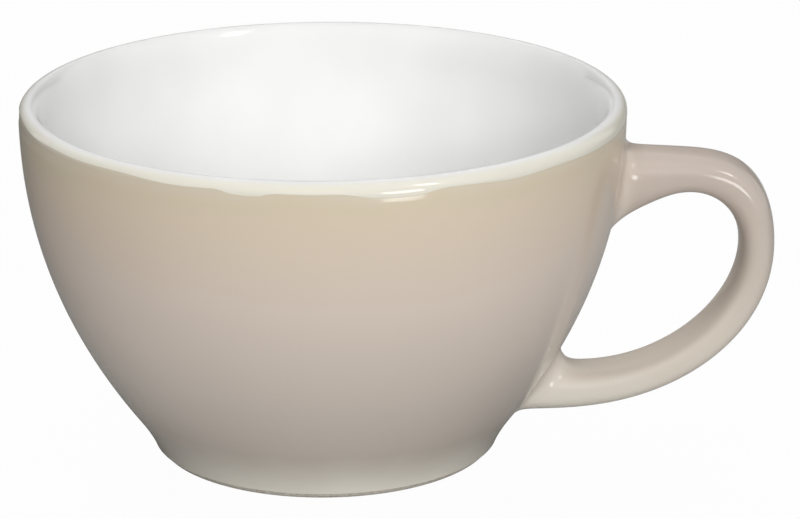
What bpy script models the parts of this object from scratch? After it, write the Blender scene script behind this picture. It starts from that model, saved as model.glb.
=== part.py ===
"""Coffee cup: a turned porcelain bowl, a cast handle luted on with slip, and its glaze coats.

Metres, +Z up. The cup stands on Z = 0 and its handle points along +X. The origin is under the middle
of the whole cup, so the bowl's axis lies a little behind it.
"""
import math

import bmesh
import bpy
import numpy as np

# Bowl
RIM_RADIUS = 0.0550          # outside of the lip
CUP_HEIGHT = 0.0660
LIP_THICKNESS = 0.0040       # the lip is a full round of this thickness, glaze included
FLOOR_WALL_THICKNESS = 0.0046  # wall where it turns into the floor
WALL_FOOT_SPREAD = 0.0039    # where the wall meets the foot, outside the foot's radius at the table
WALL_FOOT_HEIGHT = 0.0075    # the same above the table
WALL_FOOT_ANGLE = 53.0       # degrees above the table
WALL_LOWER_PULL = 0.0280     # how far the wall holds its lower direction
WALL_UPPER_PULL = 0.0140     # how far it stays upright below the lip
FLOOR_THICKNESS = 0.0046
FLOOR_FLAT_RADIUS = 0.0140
FLOOR_TURN_RISE = 0.0060     # the floor starts to turn into the wall this far below the wall's own line
FLOOR_TURN_BOW = 0.75        # how far the turn reaches into its corner

# Foot ring
FOOT_RADIUS = 0.0317         # outside, at the table
FOOT_RING_WIDTH = 0.0044
FOOT_EDGE_ROUND = 0.0007
FOOT_FLANK_ANGLE = 72.0      # degrees above the table
FOOT_FLANK_PULL = 0.0022     # how far the flank holds its direction at each end
FOOT_RECESS_DEPTH = 0.0030   # hollow inside the ring

# Glaze coats
GLAZE = 0.00035
CLEARANCE = 0.0003           # between two coats or pieces that touch on the real cup
LIP_LINE_DROP = 0.0018       # white lip ends and colour starts this far below the rim
FOOT_LINE_HEIGHT = 0.0012    # outer glaze and underside glaze stop this far above the table

# Handle
HANDLE_REACH = 0.0279        # past the rim
HANDLE_WIDTH = 0.0120        # across, along Y
HANDLE_THICKNESS = 0.0064    # in the handle's plane, at its furthest reach
ARCH_THICKNESS = 0.0069      # the same in the upper branch
SECTION_SQUARENESS = 2.6     # 2 is an ellipse, more is squarer
HANDLE_DROP = 0.0098         # top edge of the upper root below the rim
HANDLE_TOP_FALL = 0.0012     # how much the top edge falls before it bends
HANDLE_BEND_START = 0.0150   # past the rim
HANDLE_BELLY_DROP = 0.0187   # furthest reach, below the top edge of the upper root
HANDLE_ARCH_START = 0.0112   # past the rim, highest point of the finger gap
UPPER_ROOT_HEIGHT = 0.0134   # from the top edge to the arch, without the flare
LOWER_ROOT_HEIGHT = 0.0075
LOWER_ROOT_LEVEL = 0.0064    # underside of the lower root above the table
LOWER_ROOT_RUN = 0.0084      # level run of the lower root out of the wall
ROOT_FLARE = 0.0024          # how far each root spreads up, down and sideways over the wall
FLARE_BOW = 0.55             # roundness of the flare, 0.55 is a quarter of an ellipse
ROOT_DEPTH = 0.0040          # how far the handle's ends run into the wall before they are trimmed
BEND_BOW = 0.64              # roundness of the outer bend, 0.55 is an ellipse
OUTER_BOW = 0.560            # the same for the outer sweep, the inner sweep and the arch
INNER_BOW = 0.515
ARCH_BOW = 0.580
SLIP = 0.0005                # luting slip at each root

# Facets
TURN_STEPS = 48              # round the bowl
WALL_STEPS = 10              # along the wall's height
ROUND_STEPS = 4              # along each half of the lip, the floor's turn and the foot's flank
FOOT_STEPS = 2               # round each edge of the foot ring
SWEEP_STEPS = 4              # along each bend of the handle, twice as many along its long sweep
FLARE_STEPS = 2              # along the flare of each root
SECTION_STEPS = 16           # round the handle
CREASE = 50.0                # degrees, edges sharper than this stay sharp
SEAM = 0.00001               # points this close to each other or to the axis are one

CUP = "coffee_cup"
AXIS_X = -HANDLE_REACH / 2
WALL_FOOT_RADIUS = FOOT_RADIUS + WALL_FOOT_SPREAD
LIP_ROUND = LIP_THICKNESS / 2
COAT = GLAZE + CLEARANCE     # from a visible surface in to the porcelain
FAR = CUP_HEIGHT / 2         # cutters run this far past the rim and the table


def clear_scene():
    for old in list(bpy.data.objects):
        bpy.data.objects.remove(old, do_unlink=True)


def new_collection(name, hidden=False):
    group = bpy.data.collections.new(name)
    group.hide_render = hidden
    bpy.context.scene.collection.children.link(group)
    return group


def fired(name, colour, roughness):
    material = bpy.data.materials.new(name)
    material.use_nodes = True
    shader = material.node_tree.nodes["Principled BSDF"]
    shader.inputs["Base Color"].default_value = (*colour, 1.0)
    shader.inputs["Roughness"].default_value = roughness
    shader.inputs["Metallic"].default_value = 0.0
    material.diffuse_color = (*colour, 1.0)
    return material


def direction(degrees):
    angle = math.radians(degrees)
    return np.array([math.cos(angle), math.sin(angle)])


def bezier(start, pull_start, pull_end, end, steps):
    """Points of a cubic curve; each pull is the offset of its control point from its end."""
    start, end = np.array(start), np.array(end)
    t = np.linspace(0.0, 1.0, steps + 1)[:, None]
    first = start + np.array(pull_start)
    second = end + np.array(pull_end)
    return ((1 - t) ** 3 * start + 3 * (1 - t) ** 2 * t * first
            + 3 * (1 - t) * t ** 2 * second + t ** 3 * end)


def arc(centre, radius, first_degrees, last_degrees, steps):
    turns = np.linspace(first_degrees, last_degrees, steps + 1)
    return np.array([np.array(centre) + radius * direction(turn) for turn in turns])


def moved_in(line, depth):
    """The line moved to its left as it runs upwards, that is, from the outside into the wall."""
    along = np.gradient(line, axis=0)
    along /= np.linalg.norm(along, axis=1)[:, None]
    return line + np.stack([-along[:, 1], along[:, 0]], axis=1) * np.asarray(depth).reshape(-1, 1)


def outside_line():
    """Visible outside of the bowl in the (radius, height) plane, from the foot line up to the lip."""
    foot_edge = (FOOT_RADIUS, FOOT_EDGE_ROUND)
    wall_start = (WALL_FOOT_RADIUS, WALL_FOOT_HEIGHT)
    rising = direction(WALL_FOOT_ANGLE)
    foot_pull = FOOT_FLANK_PULL * direction(FOOT_FLANK_ANGLE)
    flank = bezier(foot_edge, foot_pull, -FOOT_FLANK_PULL * rising, wall_start, ROUND_STEPS)
    wall = bezier(wall_start, WALL_LOWER_PULL * rising, (0.0, -WALL_UPPER_PULL),
                  (RIM_RADIUS, CUP_HEIGHT - LIP_ROUND), WALL_STEPS)
    return flank, wall


FLANK, WALL = outside_line()
OUTSIDE = np.concatenate([FLANK, WALL[1:]])


def wall_radius(height):
    return float(np.interp(height, OUTSIDE[:, 1], OUTSIDE[:, 0]))


def lip(inset, first_degrees, last_degrees):
    centre = (RIM_RADIUS - LIP_ROUND, CUP_HEIGHT - LIP_ROUND)
    return arc(centre, LIP_ROUND - inset, first_degrees, last_degrees, ROUND_STEPS)


def inside_line(inset):
    """Inside of the bowl, from the lip down to the axis, moved into the wall by the inset."""
    rising = np.linspace(0.0, 1.0, len(WALL))
    thickness = FLOOR_WALL_THICKNESS + (LIP_THICKNESS - FLOOR_WALL_THICKNESS) * rising
    wall = moved_in(WALL, thickness - inset)
    floor = FOOT_RECESS_DEPTH + FLOOR_THICKNESS - inset
    wall = wall[wall[:, 1] > floor + FLOOR_TURN_RISE][::-1]
    falling = (wall[-1] - wall[-2]) / (wall[-2, 1] - wall[-1, 1])
    corner = wall[-1] + falling * (wall[-1, 1] - floor)
    flat = np.array([FLOOR_FLAT_RADIUS, floor])
    turn = bezier(wall[-1], FLOOR_TURN_BOW * (corner - wall[-1]), FLOOR_TURN_BOW * (corner - flat),
                  flat, ROUND_STEPS)
    return np.concatenate([wall, turn[1:], [(0.0, floor)]])


def outer_line(inset):
    """Outside from the top of the lip down to the foot edge, moved into the wall by the inset."""
    return np.concatenate([lip(inset, 90.0, 0.0)[:-1], moved_in(OUTSIDE, inset)[::-1]])


def cut_below(line, height):
    """The part of a falling line above a height, ending exactly on it."""
    radius = float(np.interp(height, line[::-1, 1], line[::-1, 0]))
    return np.concatenate([line[line[:, 1] > height], [(radius, height)]])


def cut_above(line, height):
    """The part of a falling line below a height, starting exactly on it."""
    radius = float(np.interp(height, line[::-1, 1], line[::-1, 0]))
    return np.concatenate([[(radius, height)], line[line[:, 1] < height]])


def recess_line(inset):
    """Hollow under the foot ring, from the table up and in to the axis."""
    ring_inside = FOOT_RADIUS - FOOT_RING_WIDTH + inset
    ceiling = FOOT_RECESS_DEPTH + inset
    bend = min(FOOT_RECESS_DEPTH, FOOT_RING_WIDTH) / 2 + inset
    corner = arc((ring_inside - bend, ceiling - bend), bend, 0.0, 90.0, FOOT_STEPS)
    return np.concatenate([corner, [(0.0, ceiling)]])


def new_object(name, mesh, group, material=None):
    made = bpy.data.objects.new(name, mesh)
    made.parent = STAND
    group.objects.link(made)
    if material:
        made.data.materials.append(material)
    if group is CUTTERS:
        made.hide_render = True
        made.display_type = "WIRE"
    return made


def turned(name, profile, group, material=None, closed=False):
    """A profile in (radius, height), falling on its outer side, turned about the bowl's axis."""
    count = len(profile)
    edges = [(i, i + 1) for i in range(count - 1)]
    if closed:
        edges.append((count - 1, 0))
    mesh = bpy.data.meshes.new(name)
    mesh.from_pydata([(radius, 0.0, height) for radius, height in profile], edges, [])
    made = new_object(name, mesh, group, material)
    turn = made.modifiers.new("Turn", "SCREW")
    turn.steps = TURN_STEPS
    turn.render_steps = TURN_STEPS
    turn.use_merge_vertices = True
    turn.merge_threshold = SEAM
    turn.use_smooth_shade = True
    return made


def boolean(made, operation, other):
    cut = made.modifiers.new(operation.title() + " " + other.name, "BOOLEAN")
    cut.operation = operation
    cut.object = other
    cut.solver = "EXACT"


def root_flare(height, side):
    """How the handle's edge leaves the wall: side +1 flares upwards, -1 downwards."""
    flared = height + side * ROOT_FLARE
    skin = np.array([wall_radius(flared) - COAT, flared])
    branch = np.array([wall_radius(height) + ROOT_FLARE, height])
    return skin, (0.0, -side * ROOT_FLARE * FLARE_BOW), (-ROOT_FLARE * FLARE_BOW, 0.0), branch


def joined(runs):
    """Runs of points in one line, with its ends carried on into the wall, towards the bowl's axis.

    Each run starts where the one before it ends, apart from the last, after a straight stretch.
    """
    line = np.concatenate([runs[0], *(run[1:] for run in runs[1:-1]), runs[-1]])
    inwards = np.array([-ROOT_DEPTH, 0.0])
    return np.concatenate([[line[0] + inwards], line, [line[-1] + inwards]])


def handle_edges():
    """Outer and inner edge of the handle in (radius, height), from the upper root to the lower one."""
    top = CUP_HEIGHT - HANDLE_DROP
    bend_top = top - HANDLE_TOP_FALL
    arch = bend_top - ARCH_THICKNESS
    lower_high = LOWER_ROOT_LEVEL + LOWER_ROOT_HEIGHT
    reach = RIM_RADIUS + HANDLE_REACH
    gap_reach = reach - HANDLE_THICKNESS
    belly = top - HANDLE_BELLY_DROP
    bend = RIM_RADIUS + HANDLE_BEND_START
    crown = RIM_RADIUS + HANDLE_ARCH_START
    toe = wall_radius(LOWER_ROOT_LEVEL) + LOWER_ROOT_RUN
    heel = wall_radius(lower_high) + LOWER_ROOT_RUN
    upper_flare = root_flare(top, 1)
    start = upper_flare[3]
    fall = np.array([bend, bend_top]) - start
    outer = [
        bezier(*upper_flare, FLARE_STEPS),
        bezier(start, fall / 3, -fall / 3, (bend, bend_top), SWEEP_STEPS),
        bezier((bend, bend_top), (BEND_BOW * (reach - bend), -HANDLE_TOP_FALL),
               (0.0, BEND_BOW * (bend_top - belly)), (reach, belly), SWEEP_STEPS),
        bezier((reach, belly), (0.0, OUTER_BOW * (LOWER_ROOT_LEVEL - belly)),
               (OUTER_BOW * (reach - toe), 0.0), (toe, LOWER_ROOT_LEVEL), 2 * SWEEP_STEPS),
        bezier(*root_flare(LOWER_ROOT_LEVEL, -1), FLARE_STEPS)[::-1],
    ]
    arch_flare = root_flare(top - UPPER_ROOT_HEIGHT, -1)
    start = arch_flare[3]
    climb = np.array([crown, arch]) - start
    inner = [
        bezier(*arch_flare, FLARE_STEPS),
        bezier(start, climb / 3, (-climb[0] / 3, 0.0), (crown, arch), SWEEP_STEPS),
        bezier((crown, arch), (ARCH_BOW * (gap_reach - crown), 0.0),
               (0.0, ARCH_BOW * (arch - belly)), (gap_reach, belly), SWEEP_STEPS),
        bezier((gap_reach, belly), (0.0, INNER_BOW * (lower_high - belly)),
               (INNER_BOW * (gap_reach - heel), 0.0), (heel, lower_high), 2 * SWEEP_STEPS),
        bezier(*root_flare(lower_high, 1), FLARE_STEPS)[::-1],
    ]
    return joined(outer), joined(inner)


def section():
    """Points round the handle's section, a softly squared oval of unit half-width and half-depth."""
    power = 2 / SECTION_SQUARENESS
    turns = np.linspace(0.0, 2 * math.pi, SECTION_STEPS, endpoint=False)
    across = np.sign(np.sin(turns)) * np.abs(np.sin(turns)) ** power
    out = np.sign(np.cos(turns)) * np.abs(np.cos(turns)) ** power
    return zip(across, out)


def handle_solid(name, inset):
    """The handle lofted between its two edges, its whole surface moved in by the inset."""
    outer, inner = handle_edges()
    middle_line = (outer + inner) / 2
    half = (outer - inner) / 2
    depth = np.linalg.norm(half, axis=1)[:, None]
    half *= (depth - inset) / depth
    half_width = np.full(len(outer), HANDLE_WIDTH / 2 - inset)
    spread = ROOT_FLARE * np.linspace(1.0, 0.0, FLARE_STEPS + 1) ** 2
    spread = np.concatenate([[ROOT_FLARE], spread])
    half_width[:len(spread)] += spread
    half_width[-len(spread):] += spread[::-1]
    shape = bmesh.new()
    loops = []
    for place, reach, width in zip(middle_line, half, half_width):
        loop = []
        for across, out in section():
            radius, height = place + out * reach
            loop.append(shape.verts.new((radius, across * width, height)))
        loops.append(loop)
    for loop, after in zip(loops, loops[1:]):
        for i in range(SECTION_STEPS):
            shape.faces.new((loop[i - 1], loop[i], after[i], after[i - 1]))
    shape.faces.new(loops[0])
    shape.faces.new(loops[-1])
    bmesh.ops.recalc_face_normals(shape, faces=shape.faces)
    mesh = bpy.data.meshes.new(name)
    shape.to_mesh(mesh)
    shape.free()
    mesh.shade_smooth()
    mesh.set_sharp_from_angle(angle=math.radians(CREASE))
    return mesh


def wall_cutter(name, stand_off):
    """Everything inside the porcelain wall's outside and a stand-off, running past rim and table."""
    line = moved_in(OUTSIDE, COAT - stand_off)[::-1]
    above = [(0.0, CUP_HEIGHT + FAR), (line[0, 0], CUP_HEIGHT + FAR)]
    below = [(line[-1, 0], -FAR), (0.0, -FAR)]
    return turned(name, np.concatenate([above, line, below]), CUTTERS)


def bowl():
    """Porcelain body: inside, lip, outside, foot ring and the hollow under it, in one turned piece."""
    inside = inside_line(COAT)[::-1]
    outside = outer_line(COAT)
    foot_outer = outside[-1, 0]
    foot_inner = FOOT_RADIUS - FOOT_RING_WIDTH + COAT
    edge = FOOT_EDGE_ROUND
    foot = np.concatenate([
        arc((foot_outer - edge, edge), edge, 0.0, -90.0, FOOT_STEPS),
        arc((foot_inner + edge, edge), edge, -90.0, -180.0, FOOT_STEPS),
    ])
    profile = np.concatenate([inside, lip(COAT, 180.0, 90.0)[1:-1], outside, foot, recess_line(COAT)])
    return turned("bowl", profile, PARTS, fired("bisque_porcelain", (0.80, 0.76, 0.70), 0.75))


def inner_glaze():
    """White glaze over the inside and the lip, ending at the lip line on the outside."""
    line = CUP_HEIGHT - LIP_LINE_DROP
    face = np.concatenate([inside_line(0.0)[::-1], lip(0.0, 180.0, 90.0)[1:-1],
                           cut_below(outer_line(0.0), line)])
    back = np.concatenate([cut_below(outer_line(GLAZE), line)[::-1], lip(GLAZE, 90.0, 180.0)[1:-1],
                           inside_line(GLAZE)])
    return turned("inner_glaze", np.concatenate([face, back]), PARTS,
                  fired("white_liner_glaze", (0.88, 0.88, 0.87), 0.12))


def outer_glaze(wall_gap, handle_outer, handle_cavity):
    """Beige glaze over the outside of the bowl and all round the handle, as one coat."""
    line = cut_above(outer_line(0.0), CUP_HEIGHT - LIP_LINE_DROP - CLEARANCE)
    line = cut_below(line, FOOT_LINE_HEIGHT)
    profile = np.concatenate([[(0.0, line[0, 1])], line, [(0.0, line[-1, 1])]])
    coat = turned("outer_glaze", profile, PARTS, fired("beige_glaze", (0.55, 0.47, 0.38), 0.15))
    boolean(coat, "UNION", handle_outer)
    boolean(coat, "DIFFERENCE", wall_gap)
    boolean(coat, "DIFFERENCE", handle_cavity)
    return coat


def underside_glaze():
    """Glaze in the hollow under the bowl; the ring that touches the table is wiped bare."""
    face = recess_line(0.0)
    back = recess_line(GLAZE)
    edge = FOOT_LINE_HEIGHT
    profile = np.concatenate([back[::-1], [(back[0, 0], edge), (face[0, 0], edge)], face])
    return turned("underside_glaze", profile, PARTS, fired("clear_glaze", (0.74, 0.70, 0.64), 0.2))


def slip_joint(name, level_low, level_high):
    """A pad of luting slip as wide as the handle's root, on the wall between two heights."""
    outer = cut_below(cut_above(moved_in(OUTSIDE, COAT - CLEARANCE - SLIP)[::-1], level_high), level_low)
    inner = cut_below(cut_above(moved_in(OUTSIDE, COAT - CLEARANCE)[::-1], level_high), level_low)
    ring = turned(name + "_ring", np.concatenate([outer, inner[::-1]]), CUTTERS, closed=True)
    pad = new_object(name, handle_solid(name, COAT), PARTS,
                     fired(name + "_slip", (0.78, 0.73, 0.66), 0.8))
    boolean(pad, "INTERSECT", ring)
    return pad


def handle(joint_gap):
    """Cast porcelain handle, its ends shaped to the wall."""
    ear = new_object("handle", handle_solid("handle", COAT), PARTS,
                     fired("bisque_handle", (0.80, 0.75, 0.68), 0.75))
    boolean(ear, "DIFFERENCE", joint_gap)
    return ear


clear_scene()
PARTS = new_collection(CUP)
CUTTERS = new_collection(CUP + "_cutters", hidden=True)
STAND = bpy.data.objects.new(CUP + "_axis", None)
STAND.location = (AXIS_X, 0.0, 0.0)
PARTS.objects.link(STAND)

wall_gap = wall_cutter("wall_gap", CLEARANCE)
joint_gap = wall_cutter("joint_gap", CLEARANCE + SLIP + CLEARANCE)
handle_outer = new_object("handle_outer", handle_solid("handle_outer", 0.0), CUTTERS)
handle_cavity = new_object("handle_cavity", handle_solid("handle_cavity", GLAZE), CUTTERS)
middle = (CUP_HEIGHT - HANDLE_DROP - UPPER_ROOT_HEIGHT + LOWER_ROOT_LEVEL + LOWER_ROOT_HEIGHT) / 2

bowl()
handle(joint_gap)
slip_joint("upper_slip_joint", middle, CUP_HEIGHT - LIP_ROUND)
slip_joint("lower_slip_joint", FOOT_LINE_HEIGHT, middle)
inner_glaze()
outer_glaze(wall_gap, handle_outer, handle_cavity)
underside_glaze()
bpy.context.view_layer.update()
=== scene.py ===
# %% [markdown]
# # A glazed porcelain coffee cup
# This lesson dresses a coffee cup whose solids are already made. The real cup is a turned
# porcelain bowl with a cast ear luted to its wall. It is glazed twice: white inside and over the lip,
# beige outside and round the handle. Everything here is in metres, +Z is up, and the handle points
# along +X.

# %% Load the imported cup
import math

import bmesh
import bpy
import numpy as np
from mathutils import Matrix, Vector


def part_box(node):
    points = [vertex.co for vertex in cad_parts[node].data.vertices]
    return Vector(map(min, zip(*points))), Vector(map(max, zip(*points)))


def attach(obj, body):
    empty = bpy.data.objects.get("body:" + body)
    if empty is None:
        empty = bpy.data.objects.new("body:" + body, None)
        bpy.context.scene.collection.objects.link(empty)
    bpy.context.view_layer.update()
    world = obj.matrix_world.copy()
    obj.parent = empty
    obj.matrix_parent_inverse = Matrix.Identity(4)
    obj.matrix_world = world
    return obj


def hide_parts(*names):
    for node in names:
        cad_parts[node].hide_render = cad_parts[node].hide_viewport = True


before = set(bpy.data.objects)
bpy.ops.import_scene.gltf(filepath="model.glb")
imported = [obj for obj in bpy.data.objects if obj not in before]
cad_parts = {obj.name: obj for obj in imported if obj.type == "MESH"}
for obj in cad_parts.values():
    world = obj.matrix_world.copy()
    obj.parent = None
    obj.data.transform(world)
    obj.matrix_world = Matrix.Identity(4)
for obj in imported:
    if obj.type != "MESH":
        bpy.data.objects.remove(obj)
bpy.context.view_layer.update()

print("solids:", ", ".join(sorted(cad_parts)))

# %% [markdown]
# ## Sizes that come from the solids
# The looks must not change the cup's size, so its main sizes are measured on the solids and not typed
# again. The beige coat covers the bowl's outside and the handle, so its box holds the rim's diameter,
# and the rest of its length is the handle's reach.

# %% Measure the cup
coat_low, coat_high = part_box("outer_glaze")
RIM_RADIUS = (coat_high.y - coat_low.y) / 2
AXIS_X = coat_low.x + RIM_RADIUS
CUP_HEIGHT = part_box("inner_glaze")[1].z
HANDLE_REACH = coat_high.x - AXIS_X - RIM_RADIUS
print(f"rim {2000 * RIM_RADIUS:.1f} mm, height {1000 * CUP_HEIGHT:.1f} mm,",
      f"reach {1000 * HANDLE_REACH:.1f} mm")

# %% [markdown]
# ## The camera
# A product photograph of a cup is taken from a little above the rim with a long lens, so that the
# ellipse of the mouth stays calm and the walls hardly converge. The camera is placed by its distance
# and its angle above the table, and then turned a little, because the cup with its handle is framed
# off the bowl's axis.

# %% Camera
CAMERA_DISTANCE = 0.660
CAMERA_RISE = 18.48          # degrees above the table, seen from the middle of the bowl
CAMERA_AIM_HEIGHT = 0.032
CAMERA_TILT = 18.26          # degrees down
CAMERA_TURN = 1.27           # degrees to the right
CAMERA_ROLL = -0.15          # degrees
FRAME_WIDTH = 36.0           # mm
LENS = 161.3                 # mm, on that width
NEAREST_SEEN = 0.01


def make_camera():
    rise, tilt, turn = (math.radians(a) for a in (CAMERA_RISE, CAMERA_TILT, CAMERA_TURN))
    forward = Vector((math.sin(turn) * math.cos(tilt), math.cos(turn) * math.cos(tilt), -math.sin(tilt)))
    camera = bpy.data.objects.new("camera", bpy.data.cameras.new("camera"))
    camera.data.lens = LENS
    camera.data.sensor_width = FRAME_WIDTH
    camera.data.clip_start = NEAREST_SEEN
    upright = forward.to_track_quat("-Z", "Y").to_matrix().to_4x4()
    place = Matrix.Translation((AXIS_X, -CAMERA_DISTANCE * math.cos(rise),
                                CAMERA_AIM_HEIGHT + CAMERA_DISTANCE * math.sin(rise)))
    camera.matrix_world = place @ upright @ Matrix.Rotation(math.radians(CAMERA_ROLL), 4, "Z")
    bpy.context.scene.collection.objects.link(camera)
    bpy.context.scene.camera = camera
    return camera


camera = make_camera()
print("camera at", [round(c, 4) for c in camera.location])

# %% [markdown]
# ## Colours and nodes
# Colours are written as the hex codes that a picture shows, and one function turns them into the linear
# values that a shader needs. One more function adds a node to any tree: an input that is given a socket
# is linked, any other value is set, and a colour ramp also gets its stops.

# %% Helpers for colours and nodes
MM = 0.001


def linear(code):
    """Linear colour with alpha of an sRGB hex code."""
    shares = [int(code[i:i + 2], 16) / 255 for i in (0, 2, 4)]
    return [s / 12.92 if s <= 0.04045 else ((s + 0.055) / 1.055) ** 2.4 for s in shares] + [1.0]


def add(tree, kind, inputs=None, stops=(), **settings):
    """A new node with its settings, its inputs set or linked by name or number, and its colour stops."""
    made = tree.nodes.new(kind)
    for name, value in settings.items():
        setattr(made, name, value)
    for key, value in (inputs or {}).items():
        if isinstance(value, bpy.types.NodeSocket):
            tree.links.new(value, made.inputs[key])
        else:
            made.inputs[key].default_value = value
    for number, (place, code) in enumerate(stops):
        elements = made.color_ramp.elements
        stop = elements[number] if number < len(elements) else elements.new(place)
        stop.position = place
        stop.color = linear(code)
    return made


def new_material(name):
    """An empty material with its Principled shader and the object's own coordinates."""
    material = bpy.data.materials.new(name)
    material.use_nodes = True
    tree = material.node_tree
    coords = add(tree, "ShaderNodeTexCoord").outputs["Object"]
    return material, tree, tree.nodes["Principled BSDF"], coords


print("middle grey", [round(c, 3) for c in linear("808080")])

# %% [markdown]
# ## Beige glaze: its tones
# The outside is a coloured stoneware-style glaze: a glassy layer about a third of a millimetre thick,
# dipped and then fired until it flows. Its tone goes by height: straw-coloured under the lip, greyer
# lower down, and paler again at the foot. That paler tone is painted light, for the light that the
# foot's steep flank catches. Soft clouds a centimetre or two across push the tones up and down. The
# handle has tones of its own: the beige is the glaze's, and lighter low down and darker high up is
# painted light and shade. In the fillets of the handle's roots it is paler, partly where the glaze
# gathers and partly as a painted highlight. A picture could hold all this, but a ramp over the height
# needs no picture, and an attribute of the mesh, "ear", says how far a point is out on the handle.

# %% Tones of the beige glaze
CLOUD = 16 * MM              # soft clouds of tone
CLOUD_SHIFT = 5 * MM         # how far the clouds push the tones up and down
# wall tones by height; the pale stops at the foot are painted light
WALL_TONES_AND_PAINTED_LIGHT = [(0.00, "e8e4d9"), (0.05, "e2ddd2"), (0.15, "ccc2b8"), (0.30, "cdc3b9"), (0.64, "d9cbbf"),
              (0.86, "dbcbb7"), (0.935, "d9cbb3"), (0.975, "d9ceba")]     # share of the height
# handle tones: the beige is the glaze's own; lighter low down and darker high up is painted light and shade
EAR_TONES_AND_PAINTED_SHADE = [(0.08, "e4dfd3"), (0.20, "d7cec2"), (0.50, "c9beb2"), (0.80, "c1b4aa")]
# paler in the root fillets: partly glaze that gathers there, partly a painted highlight
POOL_AND_HIGHLIGHT_TONE = "f0e7dc"
POOL_AND_HIGHLIGHT = 0.22                  # share of the pool's tone in the middle of a fillet
POOL_AND_HIGHLIGHT_REACH = 0.45            # how far from the middle it fades out, in shares of the fillet


def beige_tone(tree, coords, cloud):
    """Colour by height for wall and handle, painted light and shade in it, pushed up and down by the clouds.
    """
    height = add(tree, "ShaderNodeSeparateXYZ", {"Vector": coords}).outputs["Z"]
    uneven = add(tree, "ShaderNodeMath", {0: cloud, 1: CLOUD_SHIFT, 2: height}, operation="MULTIPLY_ADD")
    level = add(tree, "ShaderNodeMapRange", {"Value": uneven.outputs["Value"], "From Min": CLOUD_SHIFT / 2,
                                             "From Max": CUP_HEIGHT + CLOUD_SHIFT / 2}).outputs["Result"]
    wall = add(tree, "ShaderNodeValToRGB", {"Fac": level}, stops=WALL_TONES_AND_PAINTED_LIGHT).outputs["Color"]
    ear = add(tree, "ShaderNodeValToRGB", {"Fac": level}, stops=EAR_TONES_AND_PAINTED_SHADE).outputs["Color"]
    on_ear = add(tree, "ShaderNodeAttribute", attribute_name="ear").outputs["Fac"]
    tone = add(tree, "ShaderNodeMix", {0: on_ear, 6: wall, 7: ear}, data_type="RGBA").outputs[2]
    # paler in the middle of the fillets: gathered glaze and a painted highlight
    from_middle = add(tree, "ShaderNodeMath", {0: on_ear, 1: 0.5}, operation="SUBTRACT").outputs["Value"]
    apart = add(tree, "ShaderNodeMath", {0: from_middle}, operation="ABSOLUTE").outputs["Value"]
    pool_and_highlight = add(tree, "ShaderNodeMapRange", {"Value": apart, "From Max": POOL_AND_HIGHLIGHT_REACH, "To Min": POOL_AND_HIGHLIGHT,
                                            "To Max": 0.0}, interpolation_type="SMOOTHSTEP").outputs["Result"]
    return add(tree, "ShaderNodeMix", {0: pool_and_highlight, 6: tone, 7: linear(POOL_AND_HIGHLIGHT_TONE)}, data_type="RGBA").outputs[2]


print("beige glaze:", len(WALL_TONES_AND_PAINTED_LIGHT), "tones on the wall,", len(EAR_TONES_AND_PAINTED_SHADE), "on the handle")

# %% [markdown]
# ## Beige glaze: its gloss
# A fired glaze is glass, so it has the refractive index of glass and mirrors what is round it. It is
# smooth, but never dead flat: its skin undulates by a few hundredths of a millimetre, and it is a little
# duller in some clouds than in others. A bump is enough for a wave this shallow.

# %% Beige glaze
GLAZE_IOR = 1.52
WAVE = 7 * MM                # undulation of the fired skin
WAVE_HEIGHT = 0.03 * MM
BEIGE_ROUGHNESS = (0.08, 0.15)


def fired_skin(tree, shader, coords, cloud, roughness, wave_height):
    """Gloss of a fired glaze that varies with its clouds, and the slow wave of its surface."""
    rough = add(tree, "ShaderNodeMapRange", {"Value": cloud, "To Min": roughness[0], "To Max": roughness[1]})
    tree.links.new(rough.outputs["Result"], shader.inputs["Roughness"])
    wave = add(tree, "ShaderNodeTexNoise", {"Vector": coords, "Scale": 1 / WAVE, "Detail": 1.0})
    bump = add(tree, "ShaderNodeBump", {"Height": wave.outputs["Fac"], "Distance": wave_height})
    tree.links.new(bump.outputs["Normal"], shader.inputs["Normal"])
    shader.inputs["IOR"].default_value = GLAZE_IOR


def make_beige_glaze():
    # Glass over coloured clay: soft tones underneath, thin bright streaks and a dark mirrored outline on top.
    material, tree, shader, coords = new_material("beige_glaze_dipped_and_fired")
    clouds = add(tree, "ShaderNodeTexNoise", {"Vector": coords, "Scale": 1 / CLOUD, "Detail": 2.0})
    cloud = clouds.outputs["Fac"]
    tree.links.new(beige_tone(tree, coords, cloud), shader.inputs["Base Color"])
    fired_skin(tree, shader, coords, cloud, BEIGE_ROUGHNESS, WAVE_HEIGHT)
    return material


BEIGE_GLAZE = make_beige_glaze()
print(BEIGE_GLAZE.name, len(BEIGE_GLAZE.node_tree.nodes), "nodes")

# %% [markdown]
# ## White liner glaze
# The inside and the lip are a white tableware glaze. It is opaque, very smooth and easy to clean, so it
# is glossier than the outside and almost without colour. Its clouds are faint. Over the outer half of
# the lip it thins out and turns creamy, and that depends only on the distance from the bowl's axis.

# %% White glaze
WHITE_TONES = [(0.3, "eaeae9"), (0.7, "eeeeed")]
WHITE_ROUGHNESS = (0.06, 0.11)
CREAM = "e8e4d6"
CREAM_FROM = RIM_RADIUS - 1.7 * MM
CREAM_FULL = RIM_RADIUS - 0.2 * MM


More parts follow.
